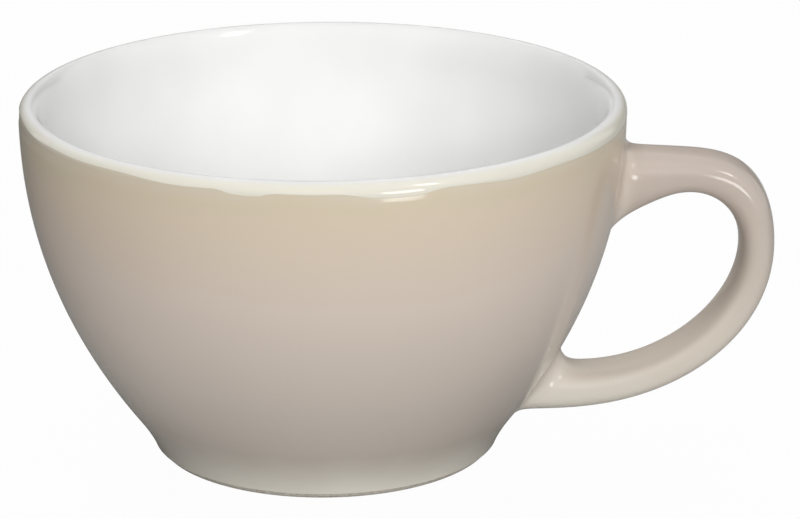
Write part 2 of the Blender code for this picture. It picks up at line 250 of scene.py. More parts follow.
def make_white_glaze():
    # Opaque white glass: no colour of its own, even light inside the cup, and the sharpest mirror image.
    material, tree, shader, coords = new_material("white_liner_glaze_poured_and_fired")
    flat = add(tree, "ShaderNodeVectorMath", {0: coords, 1: (1.0, 1.0, 0.0), 2: (-AXIS_X, 0.0, 0.0)},
               operation="MULTIPLY_ADD").outputs["Vector"]
    radius = add(tree, "ShaderNodeVectorMath", {0: flat}, operation="LENGTH").outputs["Value"]
    clouds = add(tree, "ShaderNodeTexNoise", {"Vector": coords, "Scale": 1 / CLOUD, "Detail": 1.0})
    cloud = clouds.outputs["Fac"]
    clouded = add(tree, "ShaderNodeValToRGB", {"Fac": cloud}, stops=WHITE_TONES).outputs["Color"]
    thin = add(tree, "ShaderNodeMapRange", {"Value": radius, "From Min": CREAM_FROM, "From Max": CREAM_FULL},
               interpolation_type="SMOOTHSTEP").outputs["Result"]
    tone = add(tree, "ShaderNodeMix", {0: thin, 6: clouded, 7: linear(CREAM)}, data_type="RGBA").outputs[2]
    tree.links.new(tone, shader.inputs["Base Color"])
    fired_skin(tree, shader, coords, cloud, WHITE_ROUGHNESS, WAVE_HEIGHT / 2)
    return material


WHITE_GLAZE = make_white_glaze()
print(WHITE_GLAZE.name, len(WHITE_GLAZE.node_tree.nodes), "nodes")

# %% [markdown]
# ## Bare porcelain, clear glaze and slip
# The ring that the cup stands on is wiped before firing, so the porcelain itself shows there: a greyish
# cream, dull and finely gritty. The hollow inside the ring has a thin clear glaze over the same body. The
# slip that holds the handle is the body's own clay made liquid, a little warmer, and hidden by the glaze.
# One function makes all three, because they differ only in tone, grain and gloss.

# %% Bare porcelain, clear glaze and slip
GRIT = 0.5 * MM              # real grit is finer, drawn this coarse to show
GRIT_HEIGHT = 0.03 * MM
POOLING = 6 * MM             # slow unevenness of the clear glaze
POOLING_HEIGHT = 0.02 * MM
SPECK_SPREAD = (0.35, 0.6)   # part of the noise that goes from the dark tone to the pale one


def make_ceramic(name, dark, pale, grain, grain_height, roughness):
    """Fired ceramic between two tones, with its grain as speckle and as bump."""
    material, tree, shader, coords = new_material(name)
    specks = add(tree, "ShaderNodeTexNoise", {"Vector": coords, "Scale": 1 / grain, "Detail": 3.0})
    speck = specks.outputs["Fac"]
    tone = add(tree, "ShaderNodeValToRGB", {"Fac": speck}, stops=list(zip(SPECK_SPREAD, (dark, pale))))
    tree.links.new(tone.outputs["Color"], shader.inputs["Base Color"])
    bump = add(tree, "ShaderNodeBump", {"Height": speck, "Distance": grain_height})
    tree.links.new(bump.outputs["Normal"], shader.inputs["Normal"])
    shader.inputs["Roughness"].default_value = roughness
    shader.inputs["IOR"].default_value = GLAZE_IOR
    return material


# Unglazed and dry: no highlight at all, only fine grit.
BARE_PORCELAIN = make_ceramic("bare_porcelain_fired", "aaa49a", "c2bcb1", GRIT, GRIT_HEIGHT, roughness=0.8)
# A thin clear glass: the body's cream with a soft shine over it.
CLEAR_GLAZE = make_ceramic("clear_glaze_over_porcelain", "d0c7b9", "d9d1c4", POOLING, POOLING_HEIGHT,
                           roughness=0.14)
# Clay without glaze: as dull as the bare ring, and a little warmer.
LUTING_SLIP = make_ceramic("luting_slip_fired", "c6baa9", "d2c7b7", GRIT, GRIT_HEIGHT, roughness=0.85)
for name, finish in (("handle", BARE_PORCELAIN), ("upper_slip_joint", LUTING_SLIP),
                     ("lower_slip_joint", LUTING_SLIP)):
    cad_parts[name].data.materials.clear()
    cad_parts[name].data.materials.append(finish)
print("hidden pieces keep their solids: handle and both slip joints")

# %% [markdown]
# ## Lines to draw with
# A turned pot is drawn as one half of its section. The lines of that section are Bezier curves and arcs
# in (radius, height). Each could be drawn by hand as a curve object, but as rows of points they can be
# joined, cut and moved into the wall by the depth of a coat.

# %% Curves and arcs
def direction(degrees):
    return np.array([math.cos(math.radians(degrees)), math.sin(math.radians(degrees))])


def bezier(start, pull_start, pull_end, end, steps):
    """Points of a cubic curve; each pull is the offset of its control point from its end."""
    start, end = np.array(start), np.array(end)
    t = np.linspace(0.0, 1.0, steps + 1)[:, None]
    first, second = start + np.array(pull_start), end + np.array(pull_end)
    return ((1 - t) ** 3 * start + 3 * (1 - t) ** 2 * t * first
            + 3 * (1 - t) * t ** 2 * second + t ** 3 * end)


def arc(centre, radius, first_degrees, last_degrees, steps):
    turns = np.radians(np.linspace(first_degrees, last_degrees, steps + 1))
    return np.array(centre) + radius * np.stack([np.cos(turns), np.sin(turns)], axis=1)


def moved_in(line, depth):
    """A line that runs upwards on the outside, moved into the wall."""
    along = np.gradient(line, axis=0)
    along /= np.linalg.norm(along, axis=1)[:, None]
    return line + np.stack([-along[:, 1], along[:, 0]], axis=1) * np.asarray(depth).reshape(-1, 1)


print("a quarter round in 3 steps:", arc((0.0, 0.0), 1.0, 0.0, 90.0, 3).round(2).tolist())

# %% [markdown]
# ## The outside of the bowl
# The wall is a single curve: it leaves the foot at a slope, swells, and is upright under the lip. The
# foot's flank is a second, shorter curve, and the lip's outer half is a round. Every coat and the clay
# inside it follow these lines, moved in by a depth.

# %% Outside line
LIP_ROUND = 2.0 * MM         # the lip's outer half
FOOT_RADIUS = 31.7 * MM
FOOT_EDGE = 0.7 * MM
FOOT_FLANK_ANGLE = 72.0      # degrees above the table
FOOT_FLANK_PULL = 2.2 * MM
WALL_START = (35.6 * MM, 7.5 * MM)
WALL_START_ANGLE = 53.0
WALL_LOWER_PULL = 28.0 * MM
WALL_UPPER_PULL = 14.0 * MM
FLANK_STEPS, WALL_STEPS, LIP_STEPS = 14, 64, 12

rising = direction(WALL_START_ANGLE)
FLANK = bezier((FOOT_RADIUS, FOOT_EDGE), FOOT_FLANK_PULL * direction(FOOT_FLANK_ANGLE),
               -FOOT_FLANK_PULL * rising, WALL_START, FLANK_STEPS)
WALL = bezier(WALL_START, WALL_LOWER_PULL * rising, (0.0, -WALL_UPPER_PULL),
              (RIM_RADIUS, CUP_HEIGHT - LIP_ROUND), WALL_STEPS)
OUTSIDE = np.concatenate([FLANK, WALL[1:]])


def outer_line(inset):
    """From the top of the lip down the outside to the foot, moved into the wall."""
    lip = arc((RIM_RADIUS - LIP_ROUND, CUP_HEIGHT - LIP_ROUND), LIP_ROUND - inset, 90.0, 0.0, LIP_STEPS)
    return np.concatenate([lip[:-1], moved_in(OUTSIDE, inset)[::-1]])


def between(line, high, low):
    """The part of a falling line between two heights, ending exactly on both."""
    ends = np.interp([high, low], line[::-1, 1], line[::-1, 0])
    inner = line[(line[:, 1] < high) & (line[:, 1] > low)]
    return np.concatenate([[(ends[0], high)], inner, [(ends[1], low)]])


print(f"outside line: {len(OUTSIDE)} points, foot to lip")

# %% [markdown]
# ## The inside of the bowl
# The inside follows the outside at the thickness of the wall, then turns over into a flat floor. The
# lip's inner half is longer and softer than its outer half, because the maker's sponge goes round it
# while the clay is damp.

# %% Inside line
WALL_AT_LIP = 4.0 * MM
WALL_AT_FLOOR = 4.6 * MM
FOOT_HOLLOW = 3.0 * MM
FLOOR_THICKNESS = 4.6 * MM
FLOOR_FLAT = 14.0 * MM
FLOOR_TURN_RISE = 6.0 * MM
FLOOR_TURN_BOW = 0.75
LIP_DEPTH = 5.5 * MM
LIP_BOW = 0.5
TURN_STEPS, INNER_LIP_STEPS = 20, 16


def inside_line(inset):
    """From the lip down inside to the axis, moved into the wall."""
    thickness = np.linspace(WALL_AT_FLOOR, WALL_AT_LIP, len(WALL))
    wall = moved_in(WALL, thickness - inset)
    floor = FOOT_HOLLOW + FLOOR_THICKNESS - inset
    wall = wall[(wall[:, 1] > floor + FLOOR_TURN_RISE) & (wall[:, 1] < CUP_HEIGHT - LIP_DEPTH)][::-1]
    falling = (wall[-1] - wall[-2]) / (wall[-2, 1] - wall[-1, 1])
    corner = wall[-1] + falling * (wall[-1, 1] - floor)
    flat = np.array([FLOOR_FLAT, floor])
    turn = bezier(wall[-1], FLOOR_TURN_BOW * (corner - wall[-1]), FLOOR_TURN_BOW * (corner - flat), flat,
                  TURN_STEPS)
    return np.concatenate([wall, turn[1:], [(0.0, floor)]])


def inner_lip(inset):
    """From the top of the inside line up and over to the top of the lip, moved into the wall."""
    wall = inside_line(inset)[:2]
    top = np.array([RIM_RADIUS - LIP_ROUND, CUP_HEIGHT - inset])
    climb = (wall[0] - wall[1]) / (wall[0, 1] - wall[1, 1])
    return bezier(wall[0], LIP_BOW * (top[1] - wall[0, 1]) * climb,
                  (LIP_BOW * (wall[0, 0] - top[0]), 0.0), top, INNER_LIP_STEPS)


print(f"inside line: {len(inside_line(0.0))} points, lip to axis")

# %% [markdown]
# ## A wheel made of nodes
# A potter's wheel does one thing: it carries one line round an axis. The Screw modifier would do the
# same. A Geometry Nodes tree does it here, because its named inputs keep the steps, the radius, the axis
# and the finish of every turned piece in one place. It sweeps the section round a circle, closes the
# poles and moves the piece to the bowl's axis.

# %% Geometry Nodes tree for turned pieces
WELD = 0.001 * MM            # points closer than this become one


def make_wheel():
    tree = bpy.data.node_groups.new("turned_on_the_wheel", "GeometryNodeTree")
    tree.interface.new_socket("Geometry", in_out="OUTPUT", socket_type="NodeSocketGeometry")
    for name, kind in (("Section", "Geometry"), ("Steps Round", "Int"), ("Radius", "Float"),
                       ("Axis", "Float"), ("Finish", "Material")):
        tree.interface.new_socket(name, in_out="INPUT", socket_type="NodeSocket" + kind)
    given = add(tree, "NodeGroupInput").outputs
    section = add(tree, "GeometryNodeMeshToCurve", {"Mesh": given["Section"]})
    path = add(tree, "GeometryNodeCurvePrimitiveCircle",
               {"Resolution": given["Steps Round"], "Radius": given["Radius"]})
    swept = add(tree, "GeometryNodeCurveToMesh",
                {"Curve": path.outputs["Curve"], "Profile Curve": section.outputs["Curve"]})
    closed = add(tree, "GeometryNodeMergeByDistance", {"Geometry": swept.outputs["Mesh"], "Distance": WELD})
    axis = add(tree, "ShaderNodeCombineXYZ", {"X": given["Axis"]})
    placed = add(tree, "GeometryNodeTransform",
                 {"Geometry": closed.outputs["Geometry"], "Translation": axis.outputs["Vector"]})
    smooth = add(tree, "GeometryNodeSetShadeSmooth", {"Geometry": placed.outputs["Geometry"]})
    real = add(tree, "GeometryNodeRealizeInstances", {"Geometry": smooth.outputs["Geometry"]})
    finished = add(tree, "GeometryNodeSetMaterial",
                   {"Geometry": real.outputs["Geometry"], "Material": given["Finish"]})
    add(tree, "NodeGroupOutput", {"Geometry": finished.outputs["Geometry"]})
    return tree


WHEEL = make_wheel()
print("wheel:", len(WHEEL.nodes), "nodes")

# %% [markdown]
# ## Turn a piece
# The section goes on the wheel as a row of points joined by edges. The modifier's inputs are set before
# it is evaluated, its result becomes a plain mesh, and the modifier is taken off again, so that nothing
# live is left on the piece.

# %% Turn a piece
STEPS_ROUND = 256


def turned(name, section, finish):
    """A piece that turns a falling section, in (radius, height), on the wheel."""
    mesh = bpy.data.meshes.new(name)
    mesh.from_pydata([(radius - RIM_RADIUS, -height, 0.0) for radius, height in section],
                     [(i, i + 1) for i in range(len(section) - 1)], [])
    made = bpy.data.objects.new(name, mesh)
    bpy.context.scene.collection.objects.link(made)
    wheel = made.modifiers.new("Wheel", "NODES")
    wheel.node_group = WHEEL
    values = {"Steps Round": STEPS_ROUND, "Radius": RIM_RADIUS, "Axis": AXIS_X, "Finish": finish}
    for item in WHEEL.interface.items_tree:
        if item.in_out == "INPUT" and item.name in values:
            wheel[item.identifier] = values[item.name]
    made.data = bpy.data.meshes.new_from_object(made.evaluated_get(bpy.context.evaluated_depsgraph_get()))
    made.modifiers.clear()
    return made


print("turned pieces have", STEPS_ROUND, "steps round")

# %% [markdown]
# ## The bowl
# Inside its coats the bowl is one piece of porcelain: inside, lip, outside, foot ring and the hollow
# under it. Only the foot ring shows, so the section has fine rounds there.

# %% Bowl
GLAZE = 0.35 * MM
COAT = GLAZE + 0.3 * MM      # the clay keeps clear of the coats' backs
FOOT_RING_WIDTH = 4.4 * MM
HOLLOW_STEPS, RING_STEPS = 10, 8


def hollow_line(inset):
    """Hollow under the foot ring, from the ring's side up and in to the axis."""
    side = FOOT_RADIUS - FOOT_RING_WIDTH + inset
    ceiling = FOOT_HOLLOW + inset
    bend = FOOT_HOLLOW / 2 + inset
    corner = arc((side - bend, ceiling - bend), bend, 0.0, 90.0, HOLLOW_STEPS)
    return np.concatenate([corner, [(0.0, ceiling)]])


def make_bowl():
    outside = outer_line(COAT)
    ring_outer, ring_inner = outside[-1, 0], FOOT_RADIUS - FOOT_RING_WIDTH + COAT
    ring = np.concatenate([arc((ring_outer - FOOT_EDGE, FOOT_EDGE), FOOT_EDGE, 0.0, -90.0, RING_STEPS)[1:],
                           arc((ring_inner + FOOT_EDGE, FOOT_EDGE), FOOT_EDGE, -90.0, -180.0, RING_STEPS)])
    section = np.concatenate([inside_line(COAT)[::-1], inner_lip(COAT)[1:-1], outside, ring,
                              hollow_line(COAT)])
    return turned("bowl_body", section, BARE_PORCELAIN)


bowl_body = make_bowl()
print(bowl_body.name, len(bowl_body.data.polygons), "faces")

# %% [markdown]
# ## The edge of the white glaze
# The white glaze is poured in, swilled round and poured out, and the lip is dipped. So it ends outside
# in a line that is never quite level: this cup was dipped a little askew, lower on the handle's side,
# and in two places at the front the glaze ran on. A few sine waves and two flat-topped bumps, by the
# angle round the rim, give such a line without any chance in it.

# %% Edge of the white glaze
LIP_TILT = 0.72 * MM         # lower by this much at the handle, higher opposite
LIP_WAVE = 0.10 * MM
LIP_WAVES = [(11, 40), (17, 200)]                              # waves round the rim, start in degrees
LIP_RUNS = [(-14.0, 4.0, 0.85 * MM), (12.5, 7.0, 0.75 * MM)]   # degrees from the front, half width, depth


def edge_drop(turn):
    """How far the white runs below its level line, by the angle from the front in degrees."""
    drop = LIP_TILT * np.sin(np.radians(turn))
    drop += LIP_WAVE * sum(np.sin(np.radians(count * turn + start)) for count, start in LIP_WAVES)
    for middle, half_width, depth in LIP_RUNS:
        drop += depth * np.exp(-((turn - middle) / half_width) ** 4)
    return drop


print(f"white edge at the front: {1000 * edge_drop(np.array([0.0]))[0]:.2f} mm below its level line")

# %% [markdown]
# ## The white liner
# The liner covers the inside and the whole lip. The wheel turns it with a level edge, and then the
# points of its skirt slide down along the lip's curve to the uneven edge. Sculpting would do that too,
# but not twice alike.

# %% White liner
LIP_LINE = CUP_HEIGHT - 1.8 * MM
LINER_PROUD = 0.05 * MM      # the white lies over the beige by this much
SKIRT_BACK = 0.12 * MM
SKIRT_TOP = CUP_HEIGHT - 0.6 * MM


def lip_radius(height):
    """Radius of the lip's outer half at a height."""
    above = np.clip(height - (CUP_HEIGHT - LIP_ROUND), 0.0, LIP_ROUND)
    return RIM_RADIUS - LIP_ROUND + np.sqrt(LIP_ROUND ** 2 - above ** 2)


def make_liner():
    skirt = between(outer_line(-LINER_PROUD), CUP_HEIGHT + LINER_PROUD, LIP_LINE)
    back = between(outer_line(SKIRT_BACK), SKIRT_TOP, LIP_LINE)
    face = np.concatenate([inside_line(-LINER_PROUD)[::-1], inner_lip(-LINER_PROUD)[1:-1], skirt])
    section = np.concatenate([face, back[::-1], inner_lip(GLAZE)[:0:-1], inside_line(GLAZE)])
    liner = turned("white_liner", section, WHITE_GLAZE)
    places = np.empty(3 * len(liner.data.vertices))
    liner.data.vertices.foreach_get("co", places)
    places = places.reshape(-1, 3) - [AXIS_X, 0.0, 0.0]
    radius = np.hypot(places[:, 0], places[:, 1])
    turn = np.degrees(np.arctan2(places[:, 0], -places[:, 1]))
    share = np.clip((SKIRT_TOP - places[:, 2]) / (SKIRT_TOP - LIP_LINE), 0.0, 1.0)
    share[radius < RIM_RADIUS - LIP_ROUND / 2] = 0.0
    height = places[:, 2] - share * edge_drop(turn)
    radius_now = radius + lip_radius(height) - lip_radius(places[:, 2])
    places[:, :2] *= np.where(share > 0.0, radius_now / np.maximum(radius, WELD), 1.0)[:, None]
    places[:, 2] = height
    liner.data.vertices.foreach_set("co", (places + [AXIS_X, 0.0, 0.0]).ravel())
    liner.data.update()
    return liner


white_liner = make_liner()
print(white_liner.name, len(white_liner.data.polygons), "faces")

# %% [markdown]
# ## The glaze under the cup
# The hollow inside the foot ring is glazed too, down to a line just above the table. It is the hollow's
# own line, turned as a thin closed shell.

# %% Underside glaze
FOOT_LINE = 1.2 * MM         # no glaze below this height, or it would stick to the kiln shelf


def make_underside():
    face, back = hollow_line(0.0), hollow_line(GLAZE)
    section = np.concatenate([back[::-1], [(back[0, 0], FOOT_LINE), (face[0, 0], FOOT_LINE)], face])
    return turned("underside_coat", section, CLEAR_GLAZE)


underside_coat = make_underside()
print(underside_coat.name, len(underside_coat.data.polygons), "faces")

# %% [markdown]
# ## The handle's edges
# An ear handle is not a bent tube: it is deeper where it leaves the wall, it thins round the bend, and
# its roots spread over the wall in a soft fillet. So its skin is a loft between two edge lines in the
# handle's plane. The outer edge falls a little, bends, sweeps round the belly and runs back to the foot.

# %% Outer edge of the handle
HANDLE_TOP = CUP_HEIGHT - 10.1 * MM
BEND_TOP = HANDLE_TOP - 0.9 * MM
BEND = RIM_RADIUS + 15.0 * MM
REACH = RIM_RADIUS + HANDLE_REACH
BELLY = HANDLE_TOP - 18.4 * MM
LOWER_ROOT_LOW = 6.0 * MM
LOWER_ROOT_RUN = 8.4 * MM    # how far the lower root runs level out from the wall
FILLET = 2.4 * MM            # where the roots meet the wall
BEND_BOW, OUTER_BOW = 0.64, 0.560
ARM_STEPS, BEND_STEPS, SWEEP_STEPS, RUN_POINTS = 12, 20, 40, 7


def wall_radius(height):
    return np.interp(height, OUTSIDE[:, 1], OUTSIDE[:, 0])


def eased(line, rounds=8):
    """A line with its joints softened, its ends kept."""
    for _ in range(rounds):
        line[1:-1] = (line[:-2] + 2 * line[1:-1] + line[2:]) / 4
    return line


def outer_edge():
    """Outer edge in (radius, height), from fillet to fillet."""
    start = np.array([wall_radius(HANDLE_TOP) + FILLET, HANDLE_TOP])
    fall = np.array([BEND, BEND_TOP]) - start
    turn = BEND_BOW * (REACH - BEND) / fall[0]
    toe = wall_radius(LOWER_ROOT_LOW) + LOWER_ROOT_RUN
    return eased(np.concatenate([
        bezier(start, fall / 3, -fall / 3, (BEND, BEND_TOP), ARM_STEPS),
        bezier((BEND, BEND_TOP), turn * fall, (0.0, BEND_BOW * (BEND_TOP - BELLY)), (REACH, BELLY),
               BEND_STEPS)[1:],
        bezier((REACH, BELLY), (0.0, OUTER_BOW * (LOWER_ROOT_LOW - BELLY)), (OUTER_BOW * (REACH - toe), 0.0),
               (toe, LOWER_ROOT_LOW), SWEEP_STEPS)[1:],
        np.linspace((toe, LOWER_ROOT_LOW), (wall_radius(LOWER_ROOT_LOW) + FILLET, LOWER_ROOT_LOW),
                    RUN_POINTS)[1:]]))


print(f"outer edge of the handle: {len(outer_edge())} points")

# %% [markdown]
# ## The finger gap
# The second edge goes round the finger gap. It climbs from the wall to the crown of the arch, turns
# down, and runs back to the lower root. In its two corners the fillets are larger than on the outside,
# because the glaze and the maker's thumb both fill them, so the line is cut where these fillets start.

# %% Edge of the finger gap
HANDLE_THICKNESS = 6.4 * MM
GAP_REACH = REACH - HANDLE_THICKNESS
CROWN = RIM_RADIUS + 11.2 * MM
ARCH = BEND_TOP - 6.9 * MM             # the underside of the arch
GAP_TOP = HANDLE_TOP - 12.5 * MM       # where the gap meets the wall
LOWER_ROOT_HIGH = 13.9 * MM
UPPER_GAP_FILLET = 4.6 * MM
LOWER_GAP_FILLET = 7.5 * MM
INNER_BOW, ARCH_BOW = 0.515, 0.580


def clear_of_wall(line, upper_gap, lower_gap):
    """The part of an edge line that is farther than a gap from the wall, in as many points."""
    off = line[:, 0] - wall_radius(line[:, 1])
    places = np.arange(len(line))
    half = len(line) // 2
    picks = np.linspace(np.interp(upper_gap, off[:half], places[:half]),
                        np.interp(lower_gap, off[half:][::-1], places[half:][::-1]), len(line))
    return np.stack([np.interp(picks, places, line[:, k]) for k in (0, 1)], axis=1)


def gap_edge():
    """Edge of the finger gap in (radius, height), from fillet to fillet."""
    start = np.array([wall_radius(GAP_TOP) + FILLET, GAP_TOP])
    climb = np.array([CROWN, ARCH]) - start
    heel = wall_radius(LOWER_ROOT_HIGH) + LOWER_ROOT_RUN
    line = eased(np.concatenate([
        bezier(start, climb / 3, (-climb[0] / 3, 0.0), (CROWN, ARCH), ARM_STEPS),
        bezier((CROWN, ARCH), (ARCH_BOW * (GAP_REACH - CROWN), 0.0), (0.0, ARCH_BOW * (ARCH - BELLY)),
               (GAP_REACH, BELLY), BEND_STEPS)[1:],
        bezier((GAP_REACH, BELLY), (0.0, INNER_BOW * (LOWER_ROOT_HIGH - BELLY)),
               (INNER_BOW * (GAP_REACH - heel), 0.0), (heel, LOWER_ROOT_HIGH), SWEEP_STEPS)[1:],
        np.linspace((heel, LOWER_ROOT_HIGH), (wall_radius(LOWER_ROOT_HIGH) + FILLET, LOWER_ROOT_HIGH),
                    RUN_POINTS)[1:]]))
    return clear_of_wall(line, UPPER_GAP_FILLET, LOWER_GAP_FILLET)


print(f"edge of the finger gap: {len(gap_edge())} points")

# %% [markdown]
# ## The handle's roots
# The section across the handle is softly squared. At each root it spreads over the wall along a quarter
# round that ends exactly along the wall's own curve, and the skin then runs on a little inside the wall.
# A Boolean with a bevel would leave a ragged join here; rings of points laid by rule stay clean.

# %% Rings of a root
HANDLE_WIDTH = 12.0 * MM
SQUARENESS = 2.6             # 2 is an ellipse, more is squarer
SECTION_POINTS = 72
FILLET_STEPS = 12
ROOT_SINK = 1.2 * MM         # how far the roots run on inside the wall


def section_points():
    """Across and outward shares of points round the section."""
    turns = np.linspace(0.0, 2 * math.pi, SECTION_POINTS, endpoint=False)
    share = 2 / SQUARENESS
    across = np.sign(np.sin(turns)) * np.abs(np.sin(turns)) ** share
    out = np.sign(np.cos(turns)) * np.abs(np.cos(turns)) ** share
    return across, out


def root_rings(outer, inner, gap_fillet):
    """Rings of one root, from inside the wall out to the ring where its fillet ends."""
    across, out = section_points()
    half = (outer[0, 1] - inner[0, 1]) / 2
    middle = (outer[0, 1] + inner[0, 1]) / 2
    width = HANDLE_WIDTH / 2
    y = across * width
    z = middle + out * half
    slopes = [(line[1, 1] - line[0, 1]) / (line[1, 0] - line[0, 0]) for line in (inner, outer)]
    slope = np.interp(out, [-1.0, 1.0], slopes)
    lean = (wall_radius(z + MM) - wall_radius(z - MM)) / (2 * MM)
    fillet = FILLET + (gap_fillet - FILLET) * np.clip(-out, 0.0, 1.0) ** 2
    corner = z - slope / (1 - lean * slope) * fillet
    normal = np.stack([np.sign(across) * np.abs(across) ** (SQUARENESS - 1) / width,
                       np.sign(out) * np.abs(out) ** (SQUARENESS - 1) / half], axis=1)
    normal /= np.linalg.norm(normal, axis=1)[:, None]
    rings = []
    for turn in np.linspace(math.pi / 2, 0.0, FILLET_STEPS + 1):
        back, spread = 1 - math.sin(turn), 1 - math.cos(turn)
        ring_y = y + spread * fillet * normal[:, 0]
        ring_z = corner + (z - corner) * back + (z + fillet * normal[:, 1] - corner) * spread
        ring_x = np.sqrt(wall_radius(ring_z) ** 2 - ring_y ** 2) + back * fillet
        rings.append(np.stack([ring_x, ring_y, ring_z], axis=1))
    sunk = rings[0] - np.array([ROOT_SINK, 0.0, 0.0])
    return np.array([sunk, *rings])


print("one root:", root_rings(outer_edge(), gap_edge(), UPPER_GAP_FILLET).shape[0], "rings")

# %% [markdown]
# ## The handle's skin
# Root, arm and root are one row of rings, joined to a closed mesh. Each ring also carries how far it is
# out on the handle, as the attribute that the beige glaze reads for its tones.

# %% Handle skin
def handle_rings():
    """All rings of the handle, from inside the wall at one root to inside it at the other."""
    outer, inner = outer_edge(), gap_edge()
    across, out = section_points()
    half = (outer - inner) / 2
    places = ((outer + inner) / 2)[:, None] + half[:, None] * out[None, :, None]
    sides = np.broadcast_to(across * HANDLE_WIDTH / 2, places.shape[:2])
    rings = np.stack([places[..., 0], sides, places[..., 1]], axis=2)
    rings = np.concatenate([root_rings(outer, inner, UPPER_GAP_FILLET), rings[1:-1],
                            root_rings(outer[::-1], inner[::-1], LOWER_GAP_FILLET)[::-1]])
    eased(rings[1:-1])
    return rings


def make_handle_skin():
    rings = handle_rings()
    count, around = rings.shape[:2]
    faces = [(i * around + j, (i + 1) * around + j, (i + 1) * around + (j + 1) % around,
              i * around + (j + 1) % around) for i in range(count - 1) for j in range(around)]
    faces += [tuple(range(around)), tuple(range((count - 1) * around, count * around))[::-1]]
    mesh = bpy.data.meshes.new("handle_skin")
    mesh.from_pydata((rings + [AXIS_X, 0.0, 0.0]).reshape(-1, 3).tolist(), [], faces)
    mesh.shade_smooth()
    from_root = np.minimum(np.arange(count), np.arange(count)[::-1]) - 1
    share = np.clip(from_root / FILLET_STEPS, 0.0, 1.0)
    mesh.attributes.new("ear", "FLOAT", "POINT").data.foreach_set("value", np.repeat(share, around))
    made = bpy.data.objects.new("handle_skin", mesh)
    bpy.context.scene.collection.objects.link(made)
    return made


handle_skin = make_handle_skin()
print("handle skin:", len(handle_skin.data.polygons), "faces")

# %% [markdown]
# ## The beige coat
# The coat is one unbroken skin over the bowl's outside and the handle. Its wall is a thin closed shell
# from the wheel, and the handle's skin is added to the same mesh: the roots end along the wall's own
# curve and run on a little inside the clay, so no seam shows and no Boolean is needed.

# %% Beige coat
COAT_TOP = LIP_LINE + 1.2 * MM
COAT_TUCK = 0.15 * MM        # the beige runs on this deep under the white
TUCK_FROM = LIP_LINE - 1.6 * MM
TUCK_FULL = TUCK_FROM + 1.0 * MM
SHARP_FROM = 40.0            # degrees, past which an edge is drawn sharp


def make_coat():
    outside = between(outer_line(0.0), TUCK_FROM, FOOT_LINE)
    tuck = between(outer_line(COAT_TUCK), COAT_TOP, TUCK_FULL)
    inside = between(outer_line(GLAZE), COAT_TOP, FOOT_LINE)
    section = np.concatenate([tuck, outside, inside[::-1], tuck[:1]])
    coat = turned("beige_coat", section, BEIGE_GLAZE)
    coat.data.attributes.new("ear", "FLOAT", "POINT")
    whole = bmesh.new()
    whole.from_mesh(coat.data)
    whole.from_mesh(handle_skin.data)
    whole.to_mesh(coat.data)
    whole.free()
    bpy.data.objects.remove(handle_skin)
    coat.data.set_sharp_from_angle(angle=math.radians(SHARP_FROM))
    return coat


beige_coat = make_coat()
print(beige_coat.name, len(beige_coat.data.polygons), "faces")

# %% [markdown]
# ## Fasten the pieces to the cup
# Each fine piece takes the place of the solid that it dresses, and rides on the cup's only body. The
# handle's solid and the two slip joints stay as they are, under the coat.

# %% Ride and replace
for piece, node, finish in ((bowl_body, "bowl", "bisque_porcelain"),
                            (white_liner, "inner_glaze", "white_glaze"),
                            (underside_coat, "underside_glaze", "clear_glaze"),
                            (beige_coat, "outer_glaze", "beige_glaze")):
    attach(piece, "root")
    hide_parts(node)

# %% [markdown]
# ## The floor
# The cup stands on a pale floor. The floor looks almost white to the camera and in reflections, without
# lighting the cup any more for it: a Light Path node tells the rays that look at it from the rays that
# carry light. The small rest is lit paper, and it holds the cup's shadow.

# %% Floor
FLOOR_SIZE = 6.0
FLOOR_WHITE = 0.975          # share of plain white that the camera sees on the floor
FLOOR_PAPER = "b6b6b6"


def seen_directly(tree):
    """1 for rays that look straight at a surface, or see it mirrored or through glass."""
    light = add(tree, "ShaderNodeLightPath").outputs
    mirrored = add(tree, "ShaderNodeMath", {0: light["Is Camera Ray"], 1: light["Is Glossy Ray"]},
                   operation="MAXIMUM")
    seen = add(tree, "ShaderNodeMath", {0: mirrored.outputs["Value"], 1: light["Is Transmission Ray"]},
               operation="MAXIMUM")
    return seen.outputs["Value"]


def stage_plane(name, corners):
    """A flat stage piece with four corners and an empty material of its own."""
    mesh = bpy.data.meshes.new(name)
    mesh.from_pydata(corners, [], [(0, 1, 2, 3)])
    made = bpy.data.objects.new(name, mesh)
    bpy.context.scene.collection.objects.link(made)
    material = bpy.data.materials.new(name)
    material.use_nodes = True
    material.node_tree.nodes.clear()
    mesh.materials.append(material)
    return made, material.node_tree


def make_floor():
    far = FLOOR_SIZE / 2
    floor, tree = stage_plane("pale_floor", [(-far, -far, 0), (far, -far, 0), (far, far, 0), (-far, far, 0)])
    paper = add(tree, "ShaderNodeBsdfDiffuse", {"Color": linear(FLOOR_PAPER)})
    white = add(tree, "ShaderNodeEmission", {"Color": linear("ffffff"), "Strength": 1.0})
    share = add(tree, "ShaderNodeMath", {0: seen_directly(tree), 1: FLOOR_WHITE}, operation="MULTIPLY")
    mixed = add(tree, "ShaderNodeMixShader", {0: share.outputs["Value"], 1: paper.outputs["BSDF"],
                                              2: white.outputs["Emission"]})
    add(tree, "ShaderNodeOutputMaterial", {"Surface": mixed.outputs["Shader"]})
    return floor


floor = make_floor()
print(floor.name, FLOOR_SIZE, "m wide")

# %% [markdown]
# ## The background
# The world does the same as the floor: it is white to look at, but gives only a breath of light from all
# sides, so that the soft boxes do the shading.

# %% Background
WORLD_LIGHT = 0.06


